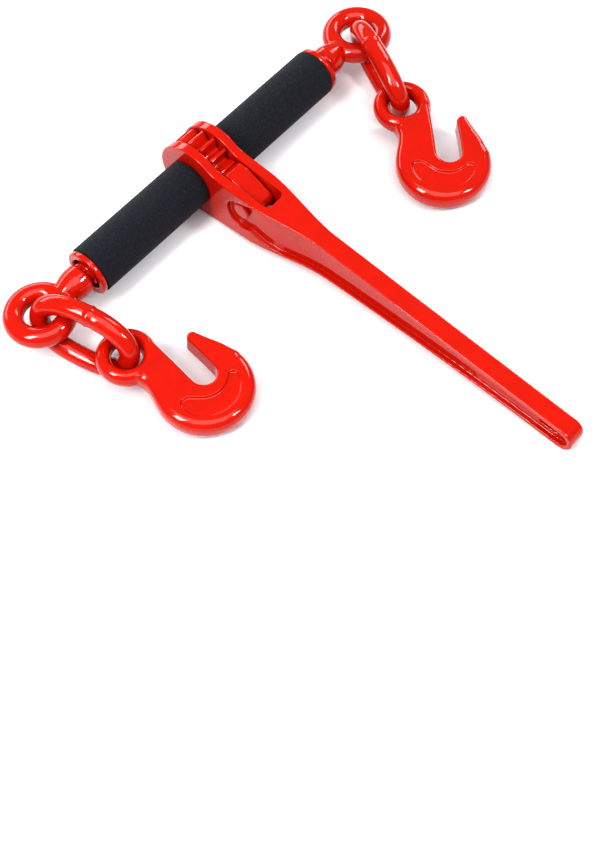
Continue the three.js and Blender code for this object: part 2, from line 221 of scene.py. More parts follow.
# The barrel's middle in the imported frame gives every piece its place.
low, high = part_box("barrel_tube")
MIDDLE = (low + high) / 2
PLACE = Matrix.Translation((0, MIDDLE.y, MIDDLE.z - AXIS_Z * MM)) @ Matrix.Scale(MM, 4)
PIN_AIM = math.degrees(math.atan2(PIN_Z - AXIS_Z, PIN_Y))

# ---- outlines in millimetres ----
LEVER_UNDERSIDE = [
    (-6, 1.1), (-45, 3.6), (-90, 6.4), (-150, 8.2), (-230, 7.6), (-300, 4.4),
    (LEVER_END + 2, END_Z - END_R),
]
CHANNEL_LOWER = [
    (-60, 17.6), (-72, 12.2), (-86, 9.4), (-105, 9.9), (-150, 11), (-230, 10.4), (-300, 7.3),
    (-340, 4.4),
]
# Radius and angle from the pin, from the middle of the teeth to the tail.
PAWL_HALF_OUTLINE = [
    (19.3, 0), (19.3, 13), (19.3, 26), (19.3, 38), (22.5, 38.6), (29.4, 33.8), (29.5, 35.8),
    (27.6, 46), (23, 55), (18, 66), (13.8, 80), (11.4, 98), (10.6, 118), (11.2, 138),
    (PAWL_TAIL_R, 152), (PAWL_TAIL_R, 165),
]
# Distance from the ring's middle, and radius.
NECK_OUTLINE = [
    (17, 0), (17, 5.5), (22, 8.8), (26, 10.4), (31, 12), (36, NECK_R), (NECK_LENGTH - 2, NECK_R),
    (NECK_LENGTH, NECK_R - 1.2), (NECK_LENGTH, 0),
]
NECK_EDGE = 1.5
PANEL_OUTLINE = [
    (-31, -13.5), (-28.6, -21.5), (-22, -28.6), (-12.5, -33), (-3, -34), (7, -31.2), (14.5, -25),
    (18.4, -18), (17.6, -13.6), (13.4, -13), (5.8, -17.8), (-2.3, -19.5), (-10.4, -17.6),
    (-16.3, -13.4), (-21.3, -9), (-26.3, -7.7), (-30.2, -9.6), (-31, -13.5),
]


# ---- curves ----
def arc(cx, cy, r, a0, a1, steps):
    """Points on an arc from a0 to a1 degrees."""
    points = []
    for i in range(steps + 1):
        a = math.radians(a0 + (a1 - a0) * i / steps)
        points.append((cx + r * math.cos(a), cy + r * math.sin(a)))
    return points


def circle(cx, cy, r, sides):
    return arc(cx, cy, r, 0, 360 - 360 / sides, sides - 1)


def spline(pairs, steps):
    """Catmull-Rom through the pairs."""
    count = len(pairs) - 1
    points = []
    for i in range(steps + 1):
        t = i / steps * count
        k = min(int(t), count - 1)
        f = t - k
        p0 = pairs[max(k - 1, 0)]
        p1 = pairs[k]
        p2 = pairs[k + 1]
        p3 = pairs[min(k + 2, count)]
        point = []
        for a, b, c, d in zip(p0, p1, p2, p3):
            rate_1 = (c - a) / 2
            rate_2 = (d - b) / 2
            cubic = 2 * b - 2 * c + rate_1 + rate_2
            square = -3 * b + 3 * c - 2 * rate_1 - rate_2
            point.append(((cubic * f + square) * f + rate_1) * f + b)
        points.append(tuple(point))
    return points


def rounded(points, radius, steps, closed=True):
    """The polygon with each corner turned into an arc of about that radius."""
    count = len(points)
    result = []
    for i, point in enumerate(points):
        if not closed and i in (0, count - 1):
            result.append(tuple(point))
            continue
        here = Vector(point)
        before = Vector(points[i - 1]) - here
        after = Vector(points[(i + 1) % count]) - here
        half = before.angle(after) / 2
        longest = CORNER_SHARE * min(before.length, after.length)
        cut = min(radius / math.tan(half), longest)
        a = here + before.normalized() * cut
        b = here + after.normalized() * cut
        for k in range(steps + 1):
            t = k / steps
            result.append(tuple((1 - t) ** 2 * a + 2 * t * (1 - t) * here + t ** 2 * b))
    return result


# ---- meshes ----
def make_object(name, vertices, faces):
    """A mesh object with its faces pointing out."""
    mesh = bpy.data.meshes.new(name)
    mesh.from_pydata([tuple(v) for v in vertices], [], faces)
    bm = bmesh.new()
    bm.from_mesh(mesh)
    bmesh.ops.recalc_face_normals(bm, faces=bm.faces)
    bm.to_mesh(mesh)
    bm.free()
    obj = bpy.data.objects.new(name, mesh)
    bpy.context.scene.collection.objects.link(obj)
    return obj


def ring_faces(rings, sides, closed):
    """The faces between rings of vertices; closed joins the last ring to the first."""
    faces = []
    for i in range(rings if closed else rings - 1):
        j = (i + 1) % rings
        for k in range(sides):
            n = (k + 1) % sides
            faces.append([i * sides + k, i * sides + n, j * sides + n, j * sides + k])
    return faces


def slab(name, outline, low_end, high_end, plane="side"):
    """An outline extruded across X ("side", drawn in y, z) or up Z ("plan", drawn in x, y)."""
    count = len(outline)
    vertices = []
    for depth in (low_end, high_end):
        for a, b in outline:
            vertices.append((depth, a, b) if plane == "side" else (a, b, depth))
    faces = [list(range(count)), list(range(count, 2 * count))]
    for i in range(count):
        j = (i + 1) % count
        faces.append([i, j, count + j, count + i])
    return make_object(name, vertices, faces)


def turned(name, profile, segments=96, closed=True):
    """A body turned about the barrel's axis from (x, radius) pairs."""
    vertices = []
    for x, r in profile:
        for k in range(segments):
            a = 2 * math.pi * k / segments
            vertices.append((x, r * math.cos(a), AXIS_Z + r * math.sin(a)))
    rings = len(profile)
    faces = ring_faces(rings, segments, closed)
    obj = make_object(name, vertices, faces)
    clean(obj)
    return obj


def sweep(name, path, radius, sides, closed=True):
    """A round bar along a path. radius is a number or a function of the share of the path."""
    count = len(path)
    vertices = []
    normal = None
    for i, point in enumerate(path):
        if closed:
            ahead = path[(i + 1) % count]
            behind = path[i - 1]
        else:
            ahead = path[min(i + 1, count - 1)]
            behind = path[max(i - 1, 0)]
        tangent = (Vector(ahead) - Vector(behind)).normalized()
        if normal is None:
            normal = tangent.orthogonal().normalized()
        normal = (normal - tangent * normal.dot(tangent)).normalized()
        other = tangent.cross(normal)
        r = radius(i / count) if callable(radius) else radius
        for k in range(sides):
            a = 2 * math.pi * k / sides
            spoke = normal * (r * math.cos(a)) + other * (r * math.sin(a))
            vertices.append(Vector(point) + spoke)
    faces = ring_faces(count, sides, closed)
    if not closed:
        faces.append(list(range(sides)))
        faces.append(list(range((count - 1) * sides, count * sides)))
    return make_object(name, vertices, faces)


def clean(obj):
    """Merges the vertices that lie on each other, as at a pole."""
    bm = bmesh.new()
    bm.from_mesh(obj.data)
    bmesh.ops.remove_doubles(bm, verts=bm.verts, dist=1e-4)
    bmesh.ops.recalc_face_normals(bm, faces=bm.faces)
    bm.to_mesh(obj.data)
    bm.free()


def apply_modifiers(obj):
    """Makes what the modifiers show into the object's own mesh."""
    depsgraph = bpy.context.evaluated_depsgraph_get()
    mesh = bpy.data.meshes.new_from_object(obj.evaluated_get(depsgraph))
    obj.modifiers.clear()
    obj.data = mesh


def combine(obj, operation, *others):
    """A boolean of obj with the others, which are used up."""
    for other in others:
        cut = obj.modifiers.new("combine", "BOOLEAN")
        cut.operation = operation
        cut.solver = "MANIFOLD"
        cut.object = other
        apply_modifiers(obj)
        bpy.data.objects.remove(other)


def merge(obj, other):
    """Puts the other's mesh into obj, to be fused by cast()."""
    bm = bmesh.new()
    bm.from_mesh(obj.data)
    bm.from_mesh(other.data)
    bm.to_mesh(obj.data)
    bm.free()
    bpy.data.objects.remove(other)


def cast(obj, kind):
    """One skin over everything in obj, with its edges and corners softened as in a casting."""
    settings = SKINS[kind]
    skin = obj.modifiers.new("skin", "REMESH")
    skin.mode = "VOXEL"
    skin.voxel_size = settings["voxel"]
    soften = obj.modifiers.new("soften", "SMOOTH")
    soften.factor = 0.5
    soften.iterations = settings["rounds"]
    apply_modifiers(obj)


def bevel(obj, width, segments):
    """Rounds the sharp edges."""
    edge = obj.modifiers.new("edge", "BEVEL")
    edge.width = width
    edge.segments = segments
    edge.limit_method = "ANGLE"
    edge.angle_limit = math.radians(BEVEL_ANGLE)
    apply_modifiers(obj)


def place(obj, matrix=PLACE, smooth_angle=SMOOTH_ANGLE):
    """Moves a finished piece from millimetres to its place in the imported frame."""
    mesh = obj.data
    mesh.transform(matrix)
    mesh.polygons.foreach_set("use_smooth", [True] * len(mesh.polygons))
    mesh.set_sharp_from_angle(angle=math.radians(smooth_angle))
    mesh.update()
    return obj


def stand_for(obj, body, node, material):
    """Gives a placed piece its material and body, and hides the CAD node that it stands for."""
    obj.data.materials.clear()
    obj.data.materials.append(material)
    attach(obj, body)
    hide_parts(node)


# ---- materials ----
NOISE_LOW = 0.3
NOISE_HIGH = 0.7
RED = (0.44, 0.0125, 0.0022)
FOAM_DARK = (0.007, 0.008, 0.012)
FOAM_LIGHT = (0.017, 0.019, 0.027)
ZINC = (0.62, 0.62, 0.60)
BRONZE_TINT = (0.60, 0.40, 0.20)
PAPER_DARK = (0.74, 0.74, 0.75)
PAPER_LIGHT = (0.76, 0.76, 0.77)


class Nodes:
    """A short way to write a material's node tree."""

    def __init__(self, name):
        self.material = bpy.data.materials.new(name)
        self.material.use_nodes = True
        self.tree = self.material.node_tree
        self.shader = self.tree.nodes["Principled BSDF"]
        self.position = self.add("ShaderNodeTexCoord").outputs["Object"]

    def add(self, kind):
        return self.tree.nodes.new(kind)

    def link(self, output, node, socket):
        self.tree.links.new(output, node.inputs[socket])

    def noise(self, scale, detail, roughness=0.5):
        node = self.add("ShaderNodeTexNoise")
        node.inputs["Scale"].default_value = scale
        node.inputs["Detail"].default_value = detail
        node.inputs["Roughness"].default_value = roughness
        self.link(self.position, node, "Vector")
        return node.outputs["Fac"]

    def spread(self, value, low_out, high_out):
        """The usual range of a noise value spread over another range."""
        node = self.add("ShaderNodeMapRange")
        node.inputs["From Min"].default_value = NOISE_LOW
        node.inputs["From Max"].default_value = NOISE_HIGH
        node.inputs["To Min"].default_value = low_out
        node.inputs["To Max"].default_value = high_out
        self.link(value, node, "Value")
        return node.outputs["Result"]

    def ramp(self, value, *stops):
        """Colours for the value, from (position, colour) stops."""
        node = self.add("ShaderNodeValToRGB")
        elements = node.color_ramp.elements
        while len(elements) < len(stops):
            elements.new(0.5)
        for element, (position, color) in zip(elements, stops):
            element.position = position
            element.color = (*color, 1)
        self.link(value, node, "Fac")
        return node.outputs["Color"]

    def bump(self, height, distance, strength, below=None):
        """A bump of the height, in metres of distance, over the bump below."""
        node = self.add("ShaderNodeBump")
        node.inputs["Distance"].default_value = distance
        node.inputs["Strength"].default_value = strength
        self.link(height, node, "Height")
        if below is not None:
            self.link(below, node, "Normal")
        return node.outputs["Normal"]

    def set(self, **values):
        """Sets uniform values on the shader's own sockets."""
        for key, value in values.items():
            self.shader.inputs[key.replace("_", " ")].default_value = value


def shade(tint, factor):
    return tuple(c * factor for c in tint)


def red_enamel(name, grain_height):
    """Thick glossy enamel: cast grain drowned in paint, with a faint flow of colour."""
    m = Nodes(name)
    tone = m.ramp(
        m.noise(scale=60, detail=4),
        (NOISE_LOW, shade(RED, 0.94)),
        (0.55, RED),
        (0.8, shade(RED, 1.05)),
    )
    m.link(tone, m.shader, "Base Color")
    m.link(m.spread(m.noise(scale=240, detail=4), 0.16, 0.3), m.shader, "Roughness")
    grain = m.bump(m.noise(scale=900, detail=2), distance=grain_height, strength=0.5)
    wave = m.noise(scale=130, detail=2)
    flow = m.bump(wave, distance=2 * grain_height, strength=0.6, below=grain)
    m.link(flow, m.shader, "Normal")
    m.set(Coat_Weight=1.0, Coat_Roughness=0.03, Coat_IOR=1.45, Specular_IOR_Level=0.05)
    return m.material


def foam_sleeve():
    """Black closed-cell foam with a fine skin of pores."""
    m = Nodes("foam_sleeve")
    mottle = m.noise(scale=500, detail=5, roughness=0.65)
    tone = m.ramp(mottle, (0.35, FOAM_DARK), (NOISE_HIGH, FOAM_LIGHT))
    m.link(tone, m.shader, "Base Color")
    m.link(m.spread(m.noise(scale=900, detail=3), 0.72, 0.92), m.shader, "Roughness")
    specks = m.noise(scale=1800, detail=3, roughness=0.6)
    pores = m.bump(specks, distance=0.0006, strength=0.9)
    soft = m.bump(m.noise(scale=260, detail=3), distance=0.0004, strength=0.5, below=pores)
    m.link(soft, m.shader, "Normal")
    m.set(Sheen_Weight=0.05, Sheen_Roughness=0.6, Specular_IOR_Level=0.25)
    return m.material


def plain_metal(name, tint, rough_low, rough_high):
    """Machined or plated metal with fine marks."""
    m = Nodes(name)
    mottle = m.noise(scale=300, detail=4)
    tone = m.ramp(mottle, (NOISE_LOW, shade(tint, 0.8)), (NOISE_HIGH, tint))
    m.link(tone, m.shader, "Base Color")
    m.link(m.spread(m.noise(scale=700, detail=4), rough_low, rough_high), m.shader, "Roughness")
    marks = m.bump(m.noise(scale=1500, detail=3), distance=0.00005, strength=0.4)
    m.link(marks, m.shader, "Normal")
    m.set(Metallic=1.0)
    return m.material


ENAMEL = red_enamel("red_enamel", grain_height=0.000012)
FORGED_ENAMEL = red_enamel("red_enamel_over_forging", grain_height=0.00009)
FOAM = foam_sleeve()
PLATED = plain_metal("zinc_plated_steel", ZINC, rough_low=0.25, rough_high=0.42)
BRONZE = plain_metal("oiled_bronze", BRONZE_TINT, rough_low=0.25, rough_high=0.45)


# ---- barrel ----
def add_barrel():
    nut = BARREL_HALF - NUT_LENGTH
    outline = [
        (-BARREL_HALF, NUT_R), (-BARREL_HALF, TUBE_R), (BARREL_HALF, TUBE_R), (BARREL_HALF, NUT_R),
        (nut, NUT_R), (nut, BORE_R), (-nut, BORE_R), (-nut, NUT_R),
    ]
    tube = place(turned("tube", rounded(outline, TUBE_EDGE, 3)))
    stand_for(tube, "barrel", "barrel_tube", ENAMEL)
    for end in ENDS:
        add_barrel_end(end["name"], end["side"])
    add_gear()


def sleeve_profile(side, start, stop, inner, outer, edge, steps):
    """The profile of a ring from start to stop along the barrel, on the given side."""
    corners = [(start, inner), (start, outer), (stop, outer), (stop, inner)]
    return [(x * side, r) for x, r in rounded(corners, edge, steps)]


def add_barrel_end(name, side):
    start = FORK_OUTER + GAP
    profile = sleeve_profile(side, start, BARREL_HALF, TUBE_R + GAP, GRIP_R, GRIP_EDGE, 6)
    grip = place(turned("foam_grip_" + name, profile, 128))
    stand_for(grip, "barrel", "grip_" + name, FOAM)

    start = BARREL_HALF + GAP
    stop = start + COLLAR_WIDTH
    profile = sleeve_profile(side, start, stop, COLLAR_HOLE_R, COLLAR_R, COLLAR_EDGE, 7)
    collar = place(turned("collar_" + name, profile))
    stand_for(collar, "barrel", "end_collar_" + name, ENAMEL)

    start = GEAR_HALF + GAP
    stop = start + WASHER_THICKNESS
    profile = sleeve_profile(side, start, stop, TUBE_R + GAP, WASHER_R, WASHER_EDGE, 2)
    washer = place(turned("washer_" + name, profile))
    stand_for(washer, "washers", "thrust_washer_" + name, BRONZE)


def gear_outline():
    """Fins with narrow crests, slanting flanks and round-bottomed gullets."""
    pitch = 360 / TEETH
    crest = math.radians(pitch / 2) - TOOTH_TIP_HALF / GEAR_TIP_R
    crest_x = GEAR_TIP_R * math.cos(crest)
    crest_y = GEAR_TIP_R * math.sin(crest)
    centre = GEAR_ROOT_R + GULLET_R
    span = math.hypot(crest_x - centre, crest_y)
    touch = math.degrees(math.atan2(crest_y, crest_x - centre) + math.acos(GULLET_R / span))
    bottom = arc(centre, 0, GULLET_R, -touch, touch - 360, 10)
    gullet = [(crest_x, -crest_y)] + bottom + [(crest_x, crest_y)]
    outline = []
    for tooth in range(TEETH):
        a = math.radians(PIN_AIM + tooth * pitch)
        for x, y in gullet:
            along = x * math.cos(a) - y * math.sin(a)
            up = x * math.sin(a) + y * math.cos(a)
            outline.append((along, AXIS_Z + up))
    return outline


def add_gear():
    gear = slab("gear", gear_outline(), -GEAR_HALF, GEAR_HALF)
    bore = round_bar("bore", TUBE_R + GAP, GEAR_BORE_REACH)
    combine(gear, "DIFFERENCE", bore)
    bevel(gear, GEAR_EDGE, 3)
    stand_for(place(gear), "barrel", "ratchet_gear", ENAMEL)


# ---- handle ----
SLOPE = (WINDOW_TOP - END_Z - END_R) / (WINDOW_REAR - LEVER_END)


def top_at(y):
    """The height of the lever's top."""
    return WINDOW_TOP + SLOPE * (y - WINDOW_REAR)


def half_width(y):
    """Half the lever's width, which tapers from the fork to the shank."""
    t = min(max((TAPER_START - y) / (TAPER_START - TAPER_END), 0), 1)
    return FORK_OUTER + (SHANK_HALF - FORK_OUTER) * t * t * (3 - 2 * t)


def plan_outline(inset, rear, corner):
    """The lever from above, drawn in by the inset."""
    right = [(FORK_OUTER - inset, PLAN_FRONT)]
    steps = 30
    for i in range(steps + 1):
        y = TAPER_START + (TAPER_END - TAPER_START) * i / steps
        right.append((half_width(y) - inset, y))
    side = SHANK_HALF - inset
    right += arc(side - corner, rear + corner, corner, 0, -90, 6)
    return right + [(-x, y) for x, y in reversed(right)]


def side_outline():
    """The lever from the side: head, underside, round end and top."""
    tilt = math.atan(SLOPE)
    drop = (top_at(0) - AXIS_Z) * math.cos(tilt)
    reach = math.sqrt((HEAD_R + SHOULDER_FILLET) ** 2 - (drop + SHOULDER_FILLET) ** 2)
    fillet_y = -reach * math.cos(tilt) - (drop + SHOULDER_FILLET) * math.sin(tilt)
    fillet_z = AXIS_Z - reach * math.sin(tilt) + (drop + SHOULDER_FILLET) * math.cos(tilt)
    toward = math.degrees(math.atan2(fillet_z - AXIS_Z, fillet_y))
    return (
        arc(0, AXIS_Z, HEAD_R, toward, HEAD_LOW_ANGLE, 110)
        + spline(LEVER_UNDERSIDE, 70)[1:]
        + arc(LEVER_END, END_Z, END_R, HEAD_LOW_ANGLE, END_HIGH_ANGLE, 32)
        + arc(fillet_y, fillet_z, SHOULDER_FILLET, math.degrees(tilt) - 90, toward - 180, 20)
    )


def channel_outline():
    """The channel sunk into each side: the recess round the pin, then along the shank."""
    end_z = END_Z + CHANNEL_END_RISE
    return (
        arc(PIN_Y, PIN_Z - PIN_RECESS_DROP, PIN_RECESS_R, RECESS_HIGH_ANGLE, RECESS_LOW_ANGLE, 40)
        + spline(CHANNEL_LOWER, 60)
        + arc(LEVER_END, end_z, CHANNEL_END_R, CHANNEL_LOW_ANGLE, CHANNEL_HIGH_ANGLE, 20)
        + [(y, top_at(y) - TOP_FLANGE) for y in CHANNEL_TOP_YS]
    )


def window_outline():
    r = WINDOW_CORNER
    return (
        [(FORK_INNER, WINDOW_FRONT), (-FORK_INNER, WINDOW_FRONT)]
        + arc(-FORK_INNER + r, WINDOW_REAR + r, r, 180, 270, 10)
        + arc(FORK_INNER - r, WINDOW_REAR + r, r, 270, 360, 10)
    )


def end_slot_outline():
    half = SLOT_HALF_HEIGHT
    front = arc(SLOT_FRONT - half, SLOT_Z, half, -90, 90, 16)
    rear = arc(SLOT_REAR + half, SLOT_Z, half, 90, 270, 16)
    return front + rear


def round_bar(name, radius, reach):
    """A plain bar about the barrel's axis."""
    return turned(name, [(-reach, 0), (-reach, radius), (reach, radius), (reach, 0)])


def cross_bar(name, radius, y, z):
    """A bar across the lever, parallel to the barrel."""
    bar = round_bar(name, radius, CROSS_BAR_REACH)
    bar.data.transform(Matrix.Translation((0, y, z - AXIS_Z)))
    return bar


def lengthwise(x, y, z):
    """Turns a body made about the barrel's axis to lie along Y, with its middle at a point."""
    turn = Matrix.Rotation(math.pi / 2, 4, "Z")
    return Matrix.Translation((x, y, z)) @ turn @ Matrix.Translation((0, 0, -AXIS_Z))


def side_slab(name, outline):
    return slab(name, outline, -LEVER_SIDE_REACH, LEVER_SIDE_REACH)


def plan_slab(name, outline):
    return slab(name, outline, PLAN_LOW, PLAN_HIGH, "plan")


def add_handle():
    handle = side_slab("lever", side_outline())
    plan = plan_slab("plan", plan_outline(0, PLAN_REAR, LEVER_CORNER))
    combine(handle, "INTERSECT", plan)
    channels = side_slab("channels", channel_outline())
    web = plan_slab("web", plan_outline(CHANNEL_DEPTH, WEB_REAR, WEB_CORNER))
    combine(channels, "DIFFERENCE", web)
    window = plan_slab("window", window_outline())
    end_slot = side_slab("end_slot", end_slot_outline())
    tube_hole = cross_bar("tube_hole", TUBE_R + TUBE_CLEARANCE, 0, AXIS_Z)
    pin_hole = cross_bar("pin_hole", PIN_R + GAP, PIN_Y, PIN_Z)
    bore = round_bar("detent_bore", PLUNGER_BORE_R, CROSS_BAR_REACH)
    bore.data.transform(lengthwise(0, PLUNGER_BORE_END + CROSS_BAR_REACH, PIN_Z))
    combine(handle, "DIFFERENCE", channels, window, end_slot, tube_hole, pin_hole, bore)
    # The skin is cast with the lever's top level, which keeps the long edges straight.
    level = Matrix.Rotation(-math.atan(SLOPE), 4, "X")
    handle.data.transform(level)
    cast(handle, "lever")
    handle.data.transform(level.inverted())
    place(handle, smooth_angle=CAST_SMOOTH_ANGLE)
    stand_for(handle, "handle", "handle", ENAMEL)


# ---- pawl, pin and detent ----
def add_pawl():
    aim = math.degrees(math.atan2(AXIS_Z - PIN_Z, -PIN_Y))
    ring = PAWL_HALF_OUTLINE + [(PAWL_TAIL_R, 180)]
    ring += [(r, -a) for r, a in reversed(PAWL_HALF_OUTLINE[1:])]
    outline = []
    for r, a in ring:
        turn = math.radians(aim + a)
        outline.append((PIN_Y + r * math.cos(turn), PIN_Z + r * math.sin(turn)))
    pawl = slab("pawl_block", rounded(outline, PAWL_EDGE, 4), -PAWL_HALF, PAWL_HALF)
    combine(pawl, "DIFFERENCE", cross_bar("pivot", PIN_R + GAP, PIN_Y, PIN_Z))
    cast(pawl, "pawl")
    place(pawl, smooth_angle=CAST_SMOOTH_ANGLE)
    stand_for(pawl, "pawl", "pawl", ENAMEL)


def add_pawl_pin():
    floor = FORK_OUTER - CHANNEL_DEPTH + GAP
    head = -floor - PIN_HEAD_HEIGHT
    end = floor + PIN_END
    at_pin = PLACE @ Matrix.Translation((0, PIN_Y, PIN_Z - AXIS_Z))
    outline = [
        (head, 0), (head, PIN_HEAD_R), (-floor, PIN_HEAD_R), (-floor, PIN_R), (end, PIN_R), (end, 0),
    ]
    pin = turned("pivot_pin", rounded(outline, PIN_EDGE, 4, closed=False), 64, closed=False)
    stand_for(place(pin, at_pin), "handle", "pawl_pin", ENAMEL)

    stop = floor + CLIP_THICKNESS
    profile = sleeve_profile(1, floor, stop, PIN_R + GAP, CLIP_R, CLIP_EDGE, 3)
    clip = turned("retaining_clip", profile, 64)
    stand_for(place(clip, at_pin), "handle", "pawl_pin_clip", PLATED)


def add_plunger(tip, tail):
    """The plunger between its tip and tail, given from the pin."""
    shoulder = tip - PLUNGER_TIP_LENGTH
    outline = [(tip, 0), (tip, PLUNGER_TIP_R), (shoulder, PLUNGER_R), (tail, PLUNGER_R), (tail, 0)]
    profile = rounded(outline, PLUNGER_EDGE, 4, closed=False)
    plunger = turned("plunger", profile, 48, closed=False)
    place(plunger, PLACE @ lengthwise(0, PIN_Y, PIN_Z))
    stand_for(plunger, "plunger", "detent_plunger", PLATED)


def add_detent():
    tip = -PAWL_TAIL_R - GAP
    tail = tip - PLUNGER_LENGTH
    add_plunger(tip, tail)
    start = PIN_Y + tail - GAP - SPRING_WIRE_R
    stop = PLUNGER_BORE_END + GAP + SPRING_WIRE_R
    steps = SPRING_TURNS * SPRING_STEPS_PER_TURN
    coil = []
    for i in range(steps + 1):
        a = 2 * math.pi * SPRING_TURNS * i / steps
        y = start + (stop - start) * i / steps
        coil.append((SPRING_COIL_R * math.cos(a), y, PIN_Z + SPRING_COIL_R * math.sin(a)))
    spring = sweep("coil_spring", coil, SPRING_WIRE_R, 8, closed=False)
    stand_for(place(spring), "handle", "detent_spring", PLATED)
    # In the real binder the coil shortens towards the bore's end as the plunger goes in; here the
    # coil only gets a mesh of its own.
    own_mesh(spring)


# ---- eye screws ----
def add_eye(name, side):
    """The forged ring and its neck, in one skin."""
    ring = [(EYE_X * side + x, y, AXIS_Z) for x, y in circle(0, 0, EYE_RING_R, 96)]
    eye = sweep("eye_" + name, ring, EYE_STOCK_R, 36)
    profile = rounded(NECK_OUTLINE, NECK_EDGE, 5, closed=False)
    neck = [(side * (EYE_X - along), r) for along, r in profile]
    merge(eye, turned("neck", neck, 72, closed=False))
    cast(eye, "eye")
    place(eye, smooth_angle=CAST_SMOOTH_ANGLE)
    stand_for(eye, "screw_" + name, "eye_screw_" + name, FORGED_ENAMEL)


def thread_radius(along, turn, start, stop):
    """The thread's radius at a place along the screw; the thread fades out at both ends."""
    fade = min(1, (along - start) / THREAD_FADE, (stop - along) / THREAD_FADE)
    phase = (along / THREAD_PITCH + turn) % 1
    cut = min(max(THREAD_STEEPNESS * abs(phase - 0.5) - THREAD_FLAT, 0), 1)
    return SCREW_R - THREAD_DEPTH * (1 - fade * (1 - cut))


def add_thread(name, side):
    start = SCREW_TAIL
    stop = EYE_X - NECK_LENGTH + THREAD_OVERLAP
    rows = int((stop - start) / THREAD_PITCH * THREAD_ROWS_PER_TURN)
    sides = 60
    vertices = [(side * start, 0, AXIS_Z)]
    for i in range(rows + 1):
        along = start + (stop - start) * i / rows
        for k in range(sides):
            a = 2 * math.pi * k / sides
            r = thread_radius(along, k / sides, start, stop)
            vertices.append((side * along, r * math.cos(a), AXIS_Z + r * math.sin(a)))
    vertices.append((side * stop, 0, AXIS_Z))
    faces = []
    last = 1 + rows * sides
    for k in range(sides):
        n = (k + 1) % sides
        faces.append([0, 1 + k, 1 + n])
        faces.append([len(vertices) - 1, last + k, last + n])
    for face in ring_faces(rows + 1, sides, closed=False):
        faces.append([1 + corner for corner in face])
    thread = place(make_object("thread_" + name, vertices, faces))
    thread.data.materials.append(ENAMEL)
    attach(thread, "screw_" + name)


def add_stop_pin(name, side):
    """The pin across the inner end of the screw."""
    half = STOP_PIN_HALF
    outline = [(-half, 0), (-half, STOP_PIN_R), (half, STOP_PIN_R), (half, 0)]
    profile = rounded(outline, STOP_PIN_EDGE, 3, closed=False)
    pin = turned("stop_" + name, profile, 32, closed=False)
    upright = (
        Matrix.Translation((side * STOP_PIN_X, 0, AXIS_Z))
        @ Matrix.Rotation(math.pi / 2, 4, "Y")
        @ Matrix.Translation((0, 0, -AXIS_Z))
    )
    place(pin, PLACE @ upright)
    stand_for(pin, "screw_" + name, "stop_pin_" + name, PLATED)


def add_eye_screw(name, side):
    add_eye(name, side)
    add_thread(name, side)
    add_stop_pin(name, side)


# ---- links and hooks ----
def signed_power(value, power):
    """The power of the size, with the sign kept."""
    return math.copysign(abs(value) ** power, value)


def crown_matrix(end):
    """Lays the link's near crown, the origin of its own frame, in the middle of the eye ring."""
    return (
        Matrix.Translation((end["side"] * EYE_X + end["aside"][0], end["aside"][1], AXIS_Z))
        @ Matrix.Rotation(math.radians(end["heading"]), 4, "Z")
        @ Matrix.Rotation(math.radians(end["pitch"]), 4, "Y")
    )


def add_link(end):
    path = []
    count = 288
    for i in range(count):
        t = 2 * math.pi * i / count
        x = LINK_HALF_LENGTH * signed_power(math.cos(t), 2 / LINK_SQUARENESS)
        y = LINK_HALF_WIDTH * signed_power(math.sin(t), 2 / LINK_SQUARENESS)
        path.append((LINK_HALF_LENGTH + x, y, 0))

    def stock(share):
        """The bar's radius: a bead at the weld, with a faint hollow to each side of it."""
        away = abs(share - end["weld"]) / WELD_HALF_WIDTH
        swell = max(0, 1 - away)
        neck = max(0, 1 - abs(away - 2))
        return LINK_STOCK_R + WELD_SWELL * swell - WELD_NECK * neck

    link = sweep("chain_link_" + end["name"], path, stock, 32)
    turn = Matrix.Rotation(math.radians(90 + end["roll"]), 4, "X")
    rise = Matrix.Translation((0, 0, end["rise"]))
    place(link, PLACE @ crown_matrix(end) @ rise @ turn, CAST_SMOOTH_ANGLE)
    node = "link_" + end["name"]
    stand_for(link, node, node, FORGED_ENAMEL)


def hook_outline():
    """(u, v, edge radius) round the hook, from the inside of the tip."""
    runs = [
        (arc(*TIP_CENTRE, TIP_R, 180, 15, 14), 2.6),
        (spline([(21.8, 21.8), (25.8, 14), (29.4, 5.5)], 12), 4.5),
        (arc(*BEND_CENTRE, BEND_R, 8, -192, 96), 7),
        (spline([(-40.5, 6), (-38.3, 14), (-37.6, 21), (-39.6, 29)], 12), 6.5),
        ([(-SLOT_HALF - 2.4, 52)], 3),
        ([(-SLOT_HALF, 44), (-SLOT_HALF, 33), (-SLOT_HALF, 22), (-SLOT_HALF, 11)], 2.4),
        (arc(0, 0, SLOT_HALF, -180, 0, 30), 2.0),
        ([(SLOT_HALF, 11), (SLOT_HALF - 0.2, 20)], 2.2),
    ]
    points = [(u, v, edge) for run, edge in runs for u, v in run]
    count = len(points)
    smooth = []
    for i, (u, v, _) in enumerate(points):
        near = [points[(i + k) % count][2] for k in range(-3, 4)]
        smooth.append((u, v, sum(near) / len(near)))
    return smooth


